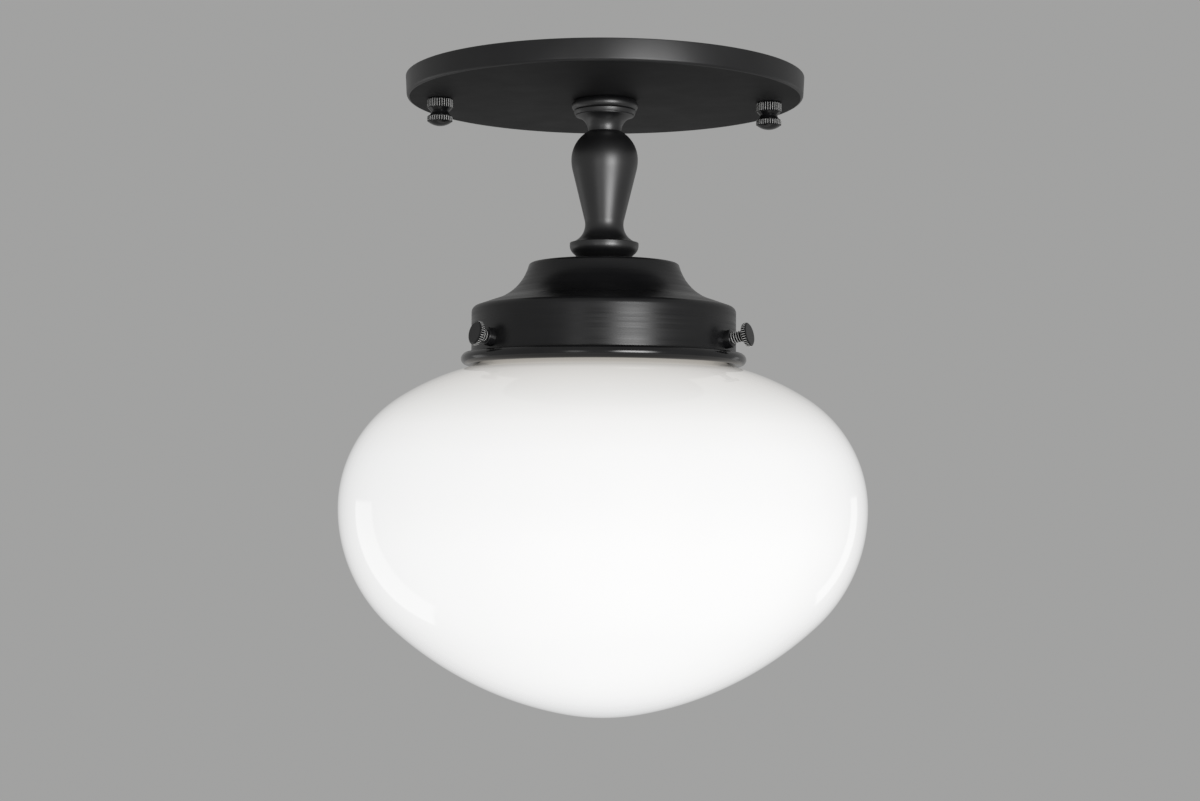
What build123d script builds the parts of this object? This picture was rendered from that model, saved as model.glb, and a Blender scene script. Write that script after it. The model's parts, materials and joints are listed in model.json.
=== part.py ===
from build123d import *
import os
from math import acos, atan2, cos, degrees, hypot, radians, sin, sqrt, tan

# Semi-flush ceiling light with a turned neck and a closed opal shade, in millimetres.
# Origin: centre of the canopy's rim, on the ceiling. +Z points up into the ceiling.
# The two canopy nuts lie on the X axis.

os.makedirs("parts", exist_ok=True)

# Fits
thread_clearance = 0.05
hole_clearance = 0.15
seat_clearance = 0.3

# Crossbar that is screwed to the ceiling box
bar_thickness = 1.6
bar_width = 19.0
bar_end_margin = 5.5
bar_centre_radius = 5.6
box_screw_radius = 2.2
box_screw_travel = 19.05
slot_web = 3.3
ground_radius = 2.4
ground_head_flats = 8.0
ground_head_height = 2.2
ground_slot_width = 1.0
ground_slot_depth = 0.9

# Nipples, with their washers and locknuts
nipple_radius = 4.85
nipple_bore_radius = 3.3
nipple_end = 0.5
washer_radius = 8.6
washer_thickness = 0.8
locknut_flats = 14.3
locknut_height = 2.4
locknut_corner = 0.25

# Canopy pan, deep enough for the crossbar and the locknut
bar_gap = 0.85
canopy_radius = 62.75
canopy_wall = 1.0
canopy_draft = 0.35
canopy_edge_radius = 1.1

# Canopy studs and their cap nuts
stud_inset = 10.75
stud_radius = 2.05
stud_engagement = 6.2
stud_chamfer = 0.4
stud_hole_play = 0.4
nut_radius = 4.0
nut_edge = 0.3
nut_grip = 3.0
nut_taper = 1.1
nut_waist_radius = 2.75
nut_flare = 1.5
nut_band = 1.7
nut_dome = 1.3

# Turned neck: radii of its features, and their distances below its top
neck_length = 51.75
neck_bore_radius = 3.4
top_bead_crest = 10.5
top_bead_radius = 1.675
fillet_radius = 9.9
fillet_taper = 0.5
fillet_height = 1.3
cove_top_radius = 9.2
cove_top_drop = 4.95
cove_radius = 5.2
cove_drop = 9.85
vase_radius = 10.5
vase_drop = 18.8
vase_body_radius = 14.2
waist_radius = 6.05
waist_drop = 39.35
foot_radius = 10.65
foot_edge = 0.3
foot_drop = 45.4
foot_rim = 0.9
foot_round = 4.5
foot_seat_radius = 8.05
upper_engagement = 6.2
lower_engagement = 8.0

# Spun shade holder
holder_wall = 0.9
holder_height = 30.1
holder_top_radius = 22.6
holder_corner = 1.2
ogee_lean = 15.5
ogee_radius = 15.65
ledge_lean = 70.8
shoulder_radius = 2.1
skirt_radius = 41.55
holder_bead_radius = 2.05
holder_bead_step = 0.05

# Thumb screws, and the bosses that they run in
screw_count = 3
screw_start_angle = 92.35
screw_tilt = 11.0
screw_rise = 5.1
screw_radius = 1.75
screw_tip_chamfer = 0.5
screw_length = 7.94
screw_head_radius = 3.7
screw_head_height = 1.7
screw_head_edge = 0.3
loose_screw = 3
loose_screw_travel = 1.95
boss_radius = 2.8
boss_length = 2.2
boss_edge = 0.3
spigot_radius = 2.15
spigot_flare = 0.3

# Opal glass shade: arcs of its outside, and the neck and lip that the screws hold
glass_wall = 3.0
glass_radius = 82.55
glass_upper_radius = 40.7
glass_upper_sweep = 57.2
glass_shoulder_radius = 76.9
glass_lower_radius = 49.6
glass_flank_share = 1.1959
glass_tip_share = 0.7324
glass_gap = 1.05
glass_neck_fillet = 2.0
lip_play = 0.8
lip_overhang = 2.4
lip_height = 3.0
lip_edge = 0.8

# Lamp socket
cap_radius = 17.5
cap_wall = 1.0
cap_plate = 1.5
cap_corner = 3.0
cap_height = 13.5
cap_bush_radius = 7.2
cap_bush_height = 5.5
chamber_height = 6.0
socket_deck = 8.0
socket_wall = 3.1
socket_rim_proud = 1.3
socket_rim_height = 4.0
shell_radius = 13.35
shell_wall = 0.4
shell_depth = 24.5
shell_inset = 0.5
shell_hole_radius = 6.0
contact_thickness = 0.5
contact_width = 5.0
contact_reach = 5.0
contact_bend = 0.8
contact_height = 2.0
terminal_radius = 1.75
terminal_length = 5.0
terminal_head_radius = 3.1
terminal_head_height = 2.0
terminal_slot_width = 0.9
terminal_slot_depth = 0.8

# Bulb
bulb_length = 106.0
bulb_radius = 30.0
bulb_clearance = 11.3
bulb_stand_off = 2.0
bulb_tip_radius = 4.6
bulb_tip_height = 1.0
bulb_insulator_height = 3.5
bulb_insulator_radius = 10.5
bulb_base_wall = 0.5
bulb_base_hole = 3.0
bulb_collar_proud = 0.6
bulb_collar_height = 3.0
bulb_housing_height = 33.0
bulb_housing_wall = 1.5
bulb_globe_wall = 1.2

# Places that follow from the sizes above
canopy_z = -bar_thickness - bar_gap - locknut_height - washer_thickness - canopy_wall
plate_z = canopy_z + canopy_wall
stud_x = canopy_radius - stud_inset
slot_length = box_screw_travel / 2 + 2 * box_screw_radius
slot_x = stud_x - stud_radius - slot_web - slot_length / 2
ground_x = -(bar_centre_radius + slot_x - slot_length / 2) / 2
nipple_hole_radius = nipple_radius + hole_clearance
tapped_radius = nipple_radius + thread_clearance
holder_z = canopy_z - neck_length
washer_z = holder_z - holder_wall - washer_thickness
cap_z = washer_z - locknut_height
holder_bead_z = holder_z - holder_height
holder_bead_centre = skirt_radius - holder_wall + holder_bead_step + holder_bead_radius
screw_z = holder_bead_z + screw_rise
tilt = radians(screw_tilt)
lip_radius = skirt_radius - holder_wall - lip_play
glass_neck_radius = lip_radius - lip_overhang


def save(builder, name):
    """Label a finished piece and write it as a STEP file of that name."""
    builder.part.label = name
    export_step(builder.part, f"parts/{name}.step")


# Crossbar
with BuildPart() as crossbar:
    with BuildSketch(Plane.XY.offset(-bar_thickness)):
        SlotOverall(2 * (stud_x + bar_end_margin), bar_width)
        Circle(bar_centre_radius, mode=Mode.SUBTRACT)
        with Locations((slot_x, 0), (-slot_x, 0)):
            SlotOverall(slot_length, 2 * box_screw_radius, mode=Mode.SUBTRACT)
        with Locations((stud_x, 0), (-stud_x, 0)):
            Circle(stud_radius + thread_clearance, mode=Mode.SUBTRACT)
        with Locations((ground_x, 0)):
            Circle(ground_radius + thread_clearance, mode=Mode.SUBTRACT)
    extrude(amount=bar_thickness)
save(crossbar, "crossbar")

# Earth terminal screw, its head below the bar
with BuildPart() as ground_screw:
    with BuildSketch(Plane.XY.offset(-bar_thickness)):
        with Locations((ground_x, 0)):
            Circle(ground_radius)
    extrude(amount=bar_thickness)
    with BuildSketch(Plane.XY.offset(-bar_thickness)):
        with Locations((ground_x, 0)):
            RegularPolygon(ground_head_flats / 2, 6, major_radius=False)
    extrude(amount=-ground_head_height)
    with BuildSketch(Plane.XY.offset(-bar_thickness - ground_head_height)):
        with Locations((ground_x, 0)):
            Rectangle(2 * ground_head_flats, ground_slot_width)
    extrude(amount=ground_slot_depth, mode=Mode.SUBTRACT)
save(ground_screw, "ground_screw")

# Canopy pan
with BuildPart() as canopy:
    with BuildSketch(Plane.XZ) as pan_section:
        with BuildLine():
            Polyline(
                (nipple_hole_radius, canopy_z),
                (canopy_radius - canopy_draft, canopy_z),
                (canopy_radius, 0),
                (canopy_radius - canopy_wall, 0),
                (canopy_radius - canopy_draft - canopy_wall, plate_z),
                (nipple_hole_radius, plate_z),
                close=True,
            )
        make_face()
        rim_corner = pan_section.vertices().sort_by_distance((canopy_radius - canopy_draft, canopy_z))[0]
        fillet(rim_corner, canopy_edge_radius)
    revolve(axis=Axis.Z)
    with Locations((stud_x, 0, canopy_z), (-stud_x, 0, canopy_z)):
        Hole(stud_radius + stud_hole_play)
save(canopy, "canopy")

# Studs and cap nuts
nut_waist_z = -nut_grip - nut_taper
nut_band_z = nut_waist_z - nut_flare
nut_dome_z = nut_band_z - nut_band
nut_end_z = nut_dome_z - nut_dome
nut_bore_radius = stud_radius + thread_clearance
nut_bore_z = -stud_engagement - seat_clearance

for side, x in (("left", -stud_x), ("right", stud_x)):
    with BuildPart() as stud:
        with BuildSketch(Plane.XY):
            with Locations((x, 0)):
                Circle(stud_radius)
        extrude(amount=canopy_z - stud_engagement)
        chamfer(stud.edges().group_by(Axis.Z)[0], stud_chamfer)
    save(stud, f"canopy_stud_{side}")

    with BuildPart() as cap_nut:
        with BuildSketch(Plane((x, 0, canopy_z), x_dir=(1, 0, 0), z_dir=(0, -1, 0))):
            with BuildLine():
                Polyline(
                    (0, nut_end_z),
                    (0, nut_bore_z),
                    (nut_bore_radius, nut_bore_z),
                    (nut_bore_radius, 0),
                    (nut_radius - nut_edge, 0),
                    (nut_radius, -nut_edge),
                    (nut_radius, -nut_grip),
                    (nut_waist_radius, nut_waist_z),
                )
                TangentArc((nut_waist_radius, nut_waist_z), (nut_radius, nut_band_z), tangent=(0, -1))
                Line((nut_radius, nut_band_z), (nut_radius, nut_dome_z))
                TangentArc((0, nut_end_z), (nut_radius, nut_dome_z), tangent=(1, 0))
            make_face()
        revolve(axis=Axis((x, 0, 0), (0, 0, 1)))
    save(cap_nut, f"canopy_nut_{side}")


def make_nipple(name, top_z, bottom_z):
    """Short threaded tube that joins two pieces and lets the leads through."""
    with BuildPart() as nipple:
        with BuildSketch(Plane.XY.offset(bottom_z)):
            Circle(nipple_radius)
            Circle(nipple_bore_radius, mode=Mode.SUBTRACT)
        extrude(amount=top_z - bottom_z)
    save(nipple, name)


def make_washer(name, bottom_z):
    """Plain washer around a nipple."""
    with BuildPart() as washer:
        with BuildSketch(Plane.XY.offset(bottom_z)):
            Circle(washer_radius)
            Circle(nipple_hole_radius, mode=Mode.SUBTRACT)
        extrude(amount=washer_thickness)
    save(washer, name)


def make_locknut(name, bottom_z):
    """Thin hexagon nut around a nipple, with its corners turned off."""
    with BuildPart() as locknut:
        with BuildSketch(Plane.XY.offset(bottom_z)):
            RegularPolygon(locknut_flats / 2, 6, major_radius=False)
            Circle(locknut_flats / sqrt(3) - locknut_corner, mode=Mode.INTERSECT)
            Circle(tapped_radius, mode=Mode.SUBTRACT)
        extrude(amount=locknut_height)
    save(locknut, name)


# Joint between canopy and neck
make_washer("canopy_washer", plate_z)
make_locknut("canopy_locknut", plate_z + washer_thickness)
upper_nipple_top = plate_z + washer_thickness + locknut_height + nipple_end
make_nipple("upper_nipple", upper_nipple_top, canopy_z - upper_engagement)


# Turned neck
def cross_tangent(centre_a, radius_a, centre_b, radius_b):
    """Ends of the line that leaves the outside of circle a and runs on to the inside of circle b."""
    run = centre_b[0] - centre_a[0]
    drop = centre_a[1] - centre_b[1]
    slope = atan2(drop, run) - acos((radius_a + radius_b) / hypot(run, drop))
    leaving = (centre_a[0] + radius_a * cos(slope), centre_a[1] - radius_a * sin(slope))
    meeting = (centre_b[0] - radius_b * cos(slope), centre_b[1] + radius_b * sin(slope))
    return leaving, meeting


top_bead_centre = top_bead_crest - top_bead_radius
fillet_z = canopy_z - 2 * top_bead_radius
cove_top = (cove_top_radius, canopy_z - cove_top_drop)
cove = (cove_radius, canopy_z - cove_drop)
widest = (vase_radius, canopy_z - vase_drop)
waist = (waist_radius, canopy_z - waist_drop)
foot_top = (foot_radius - foot_edge, canopy_z - foot_drop)
foot_rim_z = foot_top[1] - foot_edge - foot_rim
foot_seat_z = foot_rim_z - sqrt(foot_round**2 - (foot_round - foot_radius + foot_seat_radius) ** 2)
flare_run = foot_top[0] - waist[0]
flare_radius = (flare_run**2 + (waist[1] - foot_top[1]) ** 2) / (2 * flare_run)
body_centre = (widest[0] - vase_body_radius, widest[1])
flare_centre = (waist[0] + flare_radius, waist[1])
taper_top, taper_end = cross_tangent(body_centre, vase_body_radius, flare_centre, flare_radius)

with BuildPart() as neck:
    with BuildSketch(Plane.XZ):
        with BuildLine():
            Line((neck_bore_radius, canopy_z), (top_bead_centre, canopy_z))
            CenterArc((top_bead_centre, canopy_z - top_bead_radius), top_bead_radius, 90, -180)
            Polyline(
                (top_bead_centre, fillet_z),
                (fillet_radius, fillet_z),
                (fillet_radius - fillet_taper, fillet_z - fillet_height),
                (cove_top_radius, fillet_z - fillet_height),
                cove_top,
            )
            TangentArc(cove, cove_top, tangent=(0, 1))
            TangentArc(widest, cove, tangent=(0, 1))
            TangentArc(widest, taper_top, tangent=(0, -1))
            Line(taper_top, taper_end)
            TangentArc(waist, taper_end, tangent=(0, 1))
            TangentArc(waist, foot_top, tangent=(0, -1))
            Polyline(foot_top, (foot_radius, foot_top[1] - foot_edge), (foot_radius, foot_rim_z))
            TangentArc((foot_radius, foot_rim_z), (foot_seat_radius, foot_seat_z), tangent=(0, -1))
            Polyline(
                (foot_seat_radius, foot_seat_z),
                (foot_seat_radius, holder_z),
                (neck_bore_radius, holder_z),
                (neck_bore_radius, canopy_z),
            )
        make_face()
    revolve(axis=Axis.Z)
    with BuildSketch(Plane.XY.offset(canopy_z)):
        Circle(tapped_radius)
    extrude(amount=-upper_engagement - nipple_end, mode=Mode.SUBTRACT)
    with BuildSketch(Plane.XY.offset(holder_z)):
        Circle(tapped_radius)
    extrude(amount=lower_engagement + nipple_end, mode=Mode.SUBTRACT)
save(neck, "neck")

# Places of the thumb screws: X runs out along the screw from the skirt's surface
screw_planes = []
for number in range(screw_count):
    angle = radians(screw_start_angle + 360 * number / screw_count)
    seat = (skirt_radius * cos(angle), skirt_radius * sin(angle), screw_z)
    outward = (cos(tilt) * cos(angle), cos(tilt) * sin(angle), sin(tilt))
    sideways = (sin(angle), -cos(angle), 0)
    screw_planes.append(Plane(seat, x_dir=outward, z_dir=sideways))
skirt_pass = holder_wall / cos(tilt)
boss_root = skirt_pass + boss_radius

# Shade holder: a spun shell with a rolled bead at its mouth
lean = radians(ogee_lean)
ogee_top = (
    holder_top_radius + holder_corner * cos(lean),
    holder_z - holder_corner + holder_corner * sin(lean),
)
ledge = radians(ledge_lean)
ogee_end = (
    ogee_top[0] + ogee_radius * (cos(lean) - cos(ledge)),
    ogee_top[1] - ogee_radius * (sin(ledge) - sin(lean)),
)
ledge_end_r = skirt_radius - shoulder_radius * (1 - cos(ledge))
ledge_end = (ledge_end_r, ogee_end[1] - (ledge_end_r - ogee_end[0]) / tan(ledge))
skirt_top = (skirt_radius, ledge_end[1] - shoulder_radius * sin(ledge))

with BuildPart() as shade_holder:
    with BuildSketch(Plane.XZ):
        with BuildLine():
            Line((nipple_hole_radius, holder_z), (holder_top_radius, holder_z))
            TangentArc((holder_top_radius, holder_z), ogee_top, tangent=(1, 0))
            TangentArc(ogee_top, ogee_end, tangent=(sin(lean), -cos(lean)))
            Line(ogee_end, ledge_end)
            TangentArc(ledge_end, skirt_top, tangent=(sin(ledge), -cos(ledge)))
            Line(skirt_top, (skirt_radius, holder_bead_z))
            offset(amount=holder_wall, side=Side.RIGHT)
        make_face()
        with Locations((holder_bead_centre, holder_bead_z)):
            Circle(holder_bead_radius)
    revolve(axis=Axis.Z)
    for screw_plane in screw_planes:
        with BuildSketch(screw_plane):
            Rectangle(2 * boss_root, spigot_radius + thread_clearance, align=(Align.CENTER, Align.MIN))
        revolve(axis=Axis(screw_plane.origin, screw_plane.x_dir), mode=Mode.SUBTRACT)
save(shade_holder, "shade_holder")

# Bosses and thumb screws
tip_radius = screw_radius - screw_tip_chamfer
screw_tip = (glass_neck_radius + seat_clearance + tip_radius * sin(tilt) - skirt_radius) / cos(tilt)

for number, screw_plane in enumerate(screw_planes, start=1):
    screw_axis = Axis(screw_plane.origin, screw_plane.x_dir)
    screw_end = screw_tip + (loose_screw_travel if number == loose_screw else 0)
    head_back = screw_end + screw_length
    head_front = head_back + screw_head_height

    with BuildPart() as boss:
        with BuildSketch(screw_plane):
            with BuildLine():
                Polyline(
                    (-boss_root, 0),
                    (boss_length, 0),
                    (boss_length, boss_radius - boss_edge),
                    (boss_length - boss_edge, boss_radius),
                    (-boss_root, boss_radius),
                    close=True,
                )
            make_face()
        revolve(axis=screw_axis)
        with BuildSketch(Plane.XY.offset(holder_bead_z)):
            Circle(skirt_radius + thread_clearance)
        extrude(amount=skirt_top[1] - holder_bead_z, mode=Mode.SUBTRACT)
        with BuildSketch(screw_plane):
            with Locations((-skirt_pass - spigot_flare, 0)):
                Rectangle(boss_root, spigot_radius, align=(Align.MIN, Align.MIN))
        revolve(axis=screw_axis)
        with BuildSketch(screw_plane):
            bore_length = 2 * (boss_root + boss_length)
            Rectangle(bore_length, screw_radius + thread_clearance, align=(Align.CENTER, Align.MIN))
        revolve(axis=screw_axis, mode=Mode.SUBTRACT)
    save(boss, f"screw_boss_{number}")

    with BuildPart() as thumb_screw:
        with BuildSketch(screw_plane):
            with BuildLine():
                Polyline(
                    (screw_end, 0),
                    (screw_end, tip_radius),
                    (screw_end + screw_tip_chamfer, screw_radius),
                    (head_back, screw_radius),
                    (head_back, screw_head_radius - screw_head_edge),
                    (head_back + screw_head_edge, screw_head_radius),
                    (head_front - screw_head_edge, screw_head_radius),
                    (head_front, screw_head_radius - screw_head_edge),
                    (head_front, 0),
                    close=True,
                )
            make_face()
        revolve(axis=screw_axis)
    save(thumb_screw, f"thumb_screw_{number}")

# Joint between neck, holder and socket
make_washer("holder_washer", washer_z)
make_locknut("holder_locknut", cap_z)
make_nipple("lower_nipple", holder_z + lower_engagement, cap_z - cap_bush_height + nipple_end)

# Socket cap, screwed on the lower nipple
cap_end_z = cap_z - cap_height
cap_inside = cap_radius - cap_wall

with BuildPart() as socket_cap:
    with BuildSketch(Plane.XZ) as cap_section:
        with BuildLine():
            Polyline(
                (tapped_radius, cap_z),
                (cap_radius, cap_z),
                (cap_radius, cap_end_z),
                (cap_inside, cap_end_z),
                (cap_inside, cap_z - cap_plate),
                (cap_bush_radius, cap_z - cap_plate),
                (cap_bush_radius, cap_z - cap_bush_height),
                (tapped_radius, cap_z - cap_bush_height),
                close=True,
            )
        make_face()
        cap_shoulder = cap_section.vertices().sort_by_distance((cap_radius, cap_z))[0]
        fillet(cap_shoulder, cap_corner)
        cap_inner_shoulder = cap_section.vertices().sort_by_distance((cap_inside, cap_z - cap_plate))[0]
        fillet(cap_inner_shoulder, cap_corner - cap_wall)
    revolve(axis=Axis.Z)
save(socket_cap, "socket_cap")

# Socket body, with a recess for the screw shell and blind holes for the terminals
deck_z = cap_z - cap_plate - chamber_height
recess_z = deck_z - socket_deck
shell_outside = shell_radius + shell_wall
shell_end_z = recess_z - shell_depth
socket_end_z = shell_end_z - shell_inset
recess_radius = shell_outside + thread_clearance
socket_radius = recess_radius + socket_wall
rim_radius = socket_radius + socket_rim_proud
terminal_offset = cap_bush_radius + seat_clearance + terminal_head_radius

with BuildPart() as socket_body:
    with BuildSketch(Plane.XZ):
        with BuildLine():
            Polyline(
                (0, deck_z),
                (cap_inside - hole_clearance, deck_z),
                (cap_inside - hole_clearance, cap_end_z),
                (rim_radius, cap_end_z),
                (rim_radius, cap_end_z - socket_rim_height),
                (socket_radius, cap_end_z - socket_rim_height),
                (socket_radius, socket_end_z),
                (recess_radius, socket_end_z),
                (recess_radius, recess_z),
                (0, recess_z),
                close=True,
            )
        make_face()
    revolve(axis=Axis.Z)
    with BuildSketch(Plane.XY.offset(deck_z)):
        with Locations((terminal_offset, 0), (-terminal_offset, 0)):
            Circle(terminal_radius + thread_clearance)
    extrude(amount=-terminal_length - seat_clearance, mode=Mode.SUBTRACT)
save(socket_body, "socket_body")

for use, x in (("live", terminal_offset), ("neutral", -terminal_offset)):
    with BuildPart() as terminal:
        with BuildSketch(Plane.XY.offset(deck_z)):
            with Locations((x, 0)):
                Circle(terminal_head_radius)
        extrude(amount=terminal_head_height)
        with BuildSketch(Plane.XY.offset(deck_z)):
            with Locations((x, 0)):
                Circle(terminal_radius)
        extrude(amount=-terminal_length)
        with BuildSketch(Plane.XY.offset(deck_z + terminal_head_height)):
            with Locations((x, 0)):
                Rectangle(terminal_slot_width, 3 * terminal_head_radius)
        extrude(amount=-terminal_slot_depth, mode=Mode.SUBTRACT)
    save(terminal, f"terminal_screw_{use}")

# Screw shell and the sprung centre contact
with BuildPart() as screw_shell:
    with BuildSketch(Plane.XZ):
        with BuildLine():
            Polyline(
                (shell_hole_radius, recess_z),
                (shell_outside, recess_z),
                (shell_outside, shell_end_z),
                (shell_radius, shell_end_z),
                (shell_radius, recess_z - shell_wall),
                (shell_hole_radius, recess_z - shell_wall),
                close=True,
            )
        make_face()
    revolve(axis=Axis.Z)
save(screw_shell, "screw_shell")

contact_step = contact_height - contact_thickness
with BuildPart() as centre_contact:
    with BuildSketch(Plane.XZ):
        with BuildLine():
            Polyline(
                (-contact_reach, recess_z),
                (-contact_bend, recess_z),
                (contact_bend, recess_z - contact_step),
                (contact_reach, recess_z - contact_step),
            )
            offset(amount=contact_thickness, side=Side.RIGHT)
        make_face()
    extrude(amount=contact_width / 2, both=True)
save(centre_contact, "centre_contact")

# Bulb: contact button, insulator, screw base, housing and diffuser globe
bulb_z = recess_z - contact_height
insulator_z = bulb_z - bulb_tip_height
base_z = insulator_z - bulb_insulator_height
base_radius = shell_radius - seat_clearance
base_end_z = socket_end_z - bulb_stand_off
collar_radius = base_radius + bulb_collar_proud
collar_end_z = base_end_z - bulb_collar_height
globe_z = bulb_z - bulb_length + bulb_radius
seam_rise = base_end_z - bulb_housing_height - globe_z
seam = (sqrt(bulb_radius**2 - seam_rise**2), globe_z + seam_rise)
seam_angle = degrees(atan2(seam_rise, seam[0]))

with BuildPart() as bulb_contact:
    with BuildSketch(Plane.XZ):
        with BuildLine():
            face_edge = (bulb_tip_radius - bulb_tip_height, bulb_z)
            Line((0, bulb_z), face_edge)
            TangentArc(face_edge, (bulb_tip_radius, insulator_z), tangent=(1, 0))
            Polyline((bulb_tip_radius, insulator_z), (0, insulator_z), (0, bulb_z))
        make_face()
    revolve(axis=Axis.Z)
save(bulb_contact, "bulb_contact")

with BuildPart() as bulb_insulator:
    with BuildSketch(Plane.XZ):
        with BuildLine():
            Polyline(
                (0, insulator_z),
                (bulb_tip_radius, insulator_z),
                (bulb_insulator_radius, base_z),
                (0, base_z),
                close=True,
            )
        make_face()
    revolve(axis=Axis.Z)
save(bulb_insulator, "bulb_insulator")

with BuildPart() as bulb_base:
    with BuildSketch(Plane.XZ):
        with BuildLine():
            Polyline(
                (bulb_base_hole, base_z),
                (bulb_insulator_radius, base_z),
                (base_radius, base_z + bulb_insulator_radius - base_radius),
                (base_radius, base_end_z),
            )
            offset(amount=bulb_base_wall, side=Side.RIGHT)
        make_face()
    revolve(axis=Axis.Z)
save(bulb_base, "bulb_base")

with BuildPart() as bulb_housing:
    with BuildSketch(Plane.XZ):
        with BuildLine():
            Line((collar_radius, base_end_z), (collar_radius, collar_end_z))
            TangentArc(seam, (collar_radius, collar_end_z), tangent=(-seam_rise, seam[0]))
            offset(amount=bulb_housing_wall, side=Side.RIGHT)
        make_face()
    revolve(axis=Axis.Z)
save(bulb_housing, "bulb_housing")

with BuildPart() as bulb_globe:
    with BuildSketch(Plane.XZ):
        with BuildLine():
            outside = CenterArc((0, globe_z), bulb_radius, 270, 90 + seam_angle)
            inside = CenterArc((0, globe_z), bulb_radius - bulb_globe_wall, 270, 90 + seam_angle)
            Line(outside @ 0, inside @ 0)
            Line(outside @ 1, inside @ 1)
        make_face()
    revolve(axis=Axis.Z)
save(bulb_globe, "bulb_globe")

# Opal shade: the shoulder passes just under the holder's bead, the tip clears the bulb
upper_sweep = radians(glass_upper_sweep)
shoulder_shift = glass_upper_radius - glass_shoulder_radius
shoulder_centre_r = glass_radius - glass_upper_radius + shoulder_shift * cos(upper_sweep)
bead_angle = acos((holder_bead_centre - shoulder_centre_r) / glass_shoulder_radius)
shoulder_centre_z = holder_bead_z - holder_bead_radius - glass_gap - glass_shoulder_radius * sin(bead_angle)
glass_z = shoulder_centre_z - shoulder_shift * sin(upper_sweep)
glass_end_z = globe_z - bulb_radius - bulb_clearance - glass_wall
lower_centre = (glass_radius - glass_lower_radius, glass_z)


def wrapping_centre(centre_a, radius_a, centre_b, radius_b, radius):
    """Centre of the larger circle that wraps around circles a and b and touches both."""
    reach_a = radius - radius_a
    reach_b = radius - radius_b
    span = hypot(centre_b[0] - centre_a[0], centre_b[1] - centre_a[1])
    way = ((centre_b[0] - centre_a[0]) / span, (centre_b[1] - centre_a[1]) / span)
    along = (reach_a**2 - reach_b**2 + span**2) / (2 * span)
    across = sqrt(reach_a**2 - along**2)
    return (
        centre_a[0] + along * way[0] + across * way[1],
        centre_a[1] + along * way[1] - across * way[0],
    )


# Below the widest line a flatter flank and a rounder tip share the turn of one plain arc
bowl_depth = glass_z - glass_end_z
bottom_square = lower_centre[0] ** 2 + bowl_depth**2 - glass_lower_radius**2
bottom_radius = bottom_square / (2 * (bowl_depth - glass_lower_radius))
glass_flank_radius = glass_flank_share * bottom_radius
glass_tip_radius = glass_tip_share * bottom_radius
tip_centre = (0, glass_end_z + glass_tip_radius)
flank_centre = wrapping_centre(
    lower_centre, glass_lower_radius, tip_centre, glass_tip_radius, glass_flank_radius
)
lower_sweep = degrees(atan2(flank_centre[1] - glass_z, lower_centre[0] - flank_centre[0]))
flank_end = degrees(atan2(flank_centre[1] - tip_centre[1], -flank_centre[0]))


def bowl_curve(inset):
    """Arcs of the bowl from its tip to its neck, set in from the outside; gives both ends."""
    shoulder = glass_shoulder_radius - inset
    neck_angle = degrees(acos((glass_neck_radius - inset - shoulder_centre_r) / shoulder))
    tip = CenterArc(tip_centre, glass_tip_radius - inset, 270, 90 - flank_end)
    CenterArc(flank_centre, glass_flank_radius - inset, -flank_end, flank_end - lower_sweep)
    CenterArc(lower_centre, glass_lower_radius - inset, -lower_sweep, lower_sweep)
    upper_centre = (glass_radius - glass_upper_radius, glass_z)
    CenterArc(upper_centre, glass_upper_radius - inset, 0, glass_upper_sweep)
    shoulder_centre = (shoulder_centre_r, shoulder_centre_z)
    top = CenterArc(shoulder_centre, shoulder, glass_upper_sweep, neck_angle - glass_upper_sweep)
    return tip @ 0, top @ 1


screw_edge = screw_tip + screw_tip_chamfer
screw_edge_r = skirt_radius + screw_edge * cos(tilt) - screw_radius * sin(tilt)
screw_edge_z = screw_z + screw_edge * sin(tilt) + screw_radius * cos(tilt)
flare_z = screw_edge_z - screw_edge_r + glass_neck_radius + seat_clearance * sqrt(2)
lip_z = flare_z + lip_overhang
lip_top_z = lip_z + lip_height
mouth_radius = glass_neck_radius - glass_wall

with BuildPart() as glass_shade:
    with BuildSketch(Plane.XZ) as glass_section:
        with BuildLine():
            outer_tip, outer_top = bowl_curve(0)
            inner_tip, inner_top = bowl_curve(glass_wall)
            Line(outer_tip, inner_tip)
            Polyline(
                outer_top,
                (glass_neck_radius, flare_z),
                (lip_radius, lip_z),
                (lip_radius, lip_top_z),
                (mouth_radius, lip_top_z),
                inner_top,
            )
        make_face()
        fillet(glass_section.vertices().sort_by_distance(outer_top)[0], glass_neck_fillet)
        for lip_corner in ((lip_radius, lip_top_z), (mouth_radius, lip_top_z)):
            fillet(glass_section.vertices().sort_by_distance(lip_corner)[0], lip_edge)
    revolve(axis=Axis.Z)
save(glass_shade, "glass_shade")
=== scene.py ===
import json
import math

import bmesh
import bpy
from mathutils import Matrix, Vector


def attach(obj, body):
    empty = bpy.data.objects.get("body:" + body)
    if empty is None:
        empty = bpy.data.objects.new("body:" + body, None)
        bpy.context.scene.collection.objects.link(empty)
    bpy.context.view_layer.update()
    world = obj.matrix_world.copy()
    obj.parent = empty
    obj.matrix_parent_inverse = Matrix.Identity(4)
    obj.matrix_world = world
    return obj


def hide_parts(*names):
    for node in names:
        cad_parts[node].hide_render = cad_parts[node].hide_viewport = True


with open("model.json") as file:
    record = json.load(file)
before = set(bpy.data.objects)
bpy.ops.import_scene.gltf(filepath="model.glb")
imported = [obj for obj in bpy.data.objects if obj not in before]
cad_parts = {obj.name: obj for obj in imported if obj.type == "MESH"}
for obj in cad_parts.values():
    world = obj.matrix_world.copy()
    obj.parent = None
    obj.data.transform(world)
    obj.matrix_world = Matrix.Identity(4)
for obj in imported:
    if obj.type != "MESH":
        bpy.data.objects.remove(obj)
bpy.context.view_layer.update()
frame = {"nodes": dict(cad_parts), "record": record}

MM = 0.001

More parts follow.
